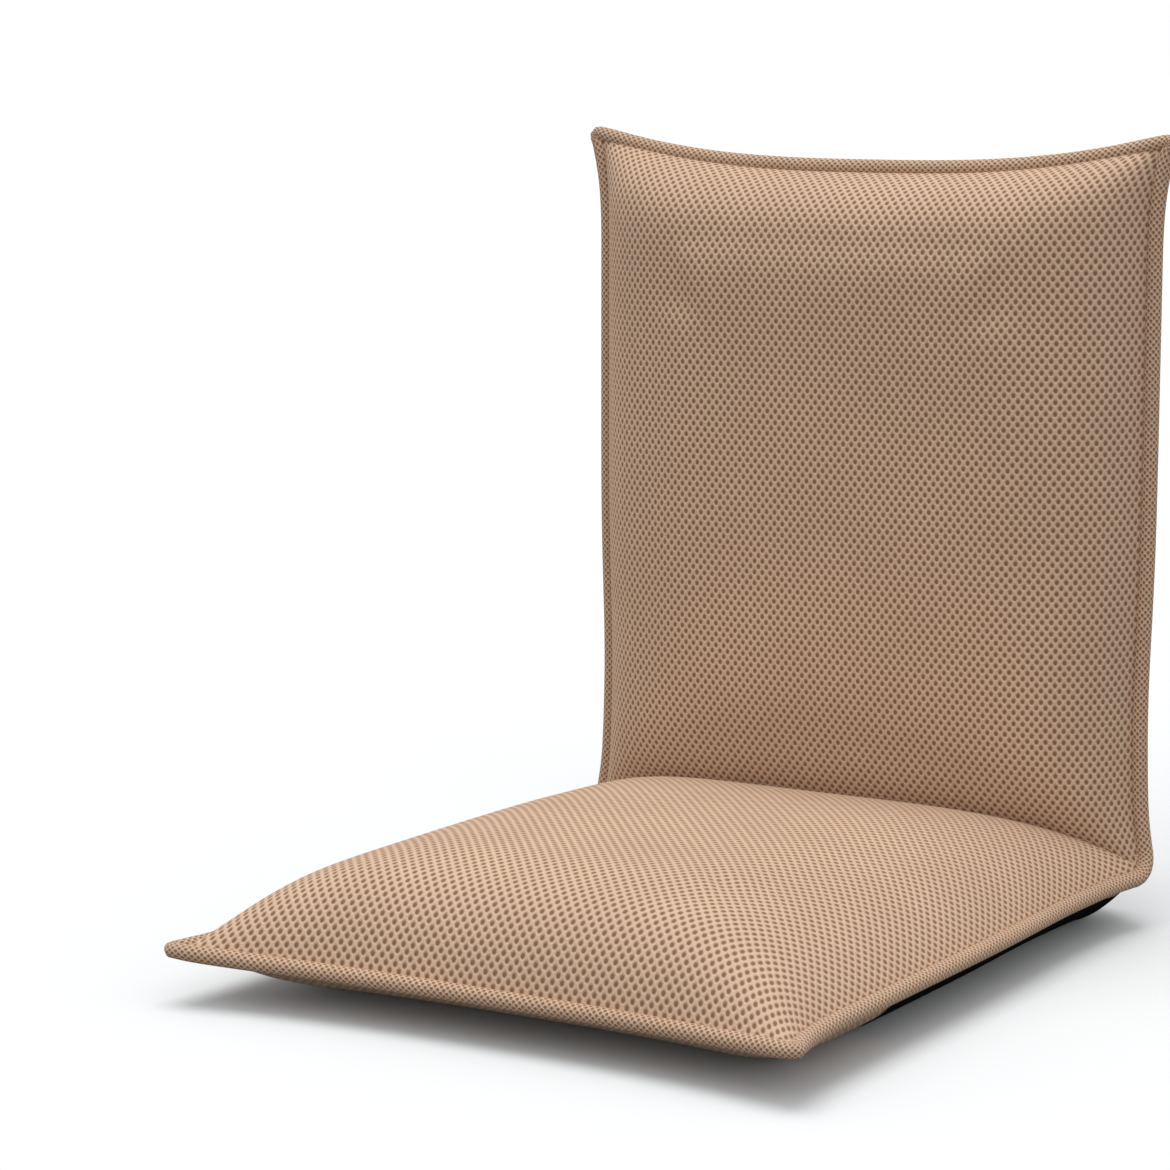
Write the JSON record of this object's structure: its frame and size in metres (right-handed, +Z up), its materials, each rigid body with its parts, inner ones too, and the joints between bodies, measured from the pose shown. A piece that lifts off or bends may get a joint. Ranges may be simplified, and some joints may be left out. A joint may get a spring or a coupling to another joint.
{
  "type": "folding floor chair",
  "caption": "Padded folding floor chair: a cushioned seat that lies on the floor and a cushioned backrest joined by hidden ratchet hinges.",
  "frame": {"origin": "middle of the chair's bounding box in X and Y, on the floor", "axes": "+X the right side seen from the front, -Y the front edge of the seat, +Z up; the backrest stands upright at +Y"},
  "size_m": [0.5186, 0.6403, 0.6203],
  "materials": {
    "cover_fabric": "woven, small dark brown dots on tan",
    "grip_fabric": "black, non-slip",
    "foam": "polyurethane foam",
    "felt": "needled felt",
    "webbing": "elastic webbing",
    "frame_steel": "powder coated",
    "hinge_steel": "zinc plated",
    "spring_steel": "hardened"
  },
  "bodies": {
    "seat": {"seat_cushion_cover": "cover_fabric", "seat_under_cover": "cover_fabric", "seat_grip_panel": "grip_fabric", "seat_welt": "cover_fabric", "seat_foam": "foam", "seat_base_foam": "foam", "seat_felt": "felt", "seat_frame_tube": "frame_steel", "seat_cross_bars": "frame_steel", "hinge_outer_plates": "hinge_steel", "hinge_inner_plates": "hinge_steel", "hinge_pivots": "hinge_steel", "pawl_pins": "hinge_steel", "plate_rivets": "hinge_steel", "left_pawl_spring": "spring_steel", "right_pawl_spring": "spring_steel"},
    "backrest": {"back_cushion_cover": "cover_fabric", "back_under_cover": "cover_fabric", "back_grip_panel": "grip_fabric", "back_welt": "cover_fabric", "back_foam": "foam", "back_base_foam": "foam", "back_felt": "felt", "back_frame_tube": "frame_steel", "back_cross_bars": "frame_steel", "back_webbing": "webbing", "ratchet_plates": "hinge_steel", "stem_rivets": "hinge_steel"},
    "left_pawl": {"left_pawl": "hinge_steel"},
    "right_pawl": {"right_pawl": "hinge_steel"}
  },
  "joints": [
    {"name": "backrest_fold", "type": "hinge", "parent": "seat", "child": "backrest", "pos_m": [0, 0.281, 0.04], "axis": [1, 0, 0], "range_deg": [-90, 18]},
    {"name": "left_pawl_lift", "type": "hinge", "parent": "seat", "child": "left_pawl", "pos_m": [-0.205, 0.253, 0.04], "axis": [1, 0, 0], "range_deg": [0, 12], "deforming": ["left_pawl_spring"]},
    {"name": "right_pawl_lift", "type": "hinge", "parent": "seat", "child": "right_pawl", "pos_m": [0.205, 0.253, 0.04], "axis": [1, 0, 0], "range_deg": [0, 12], "deforming": ["right_pawl_spring"]}
  ]
}
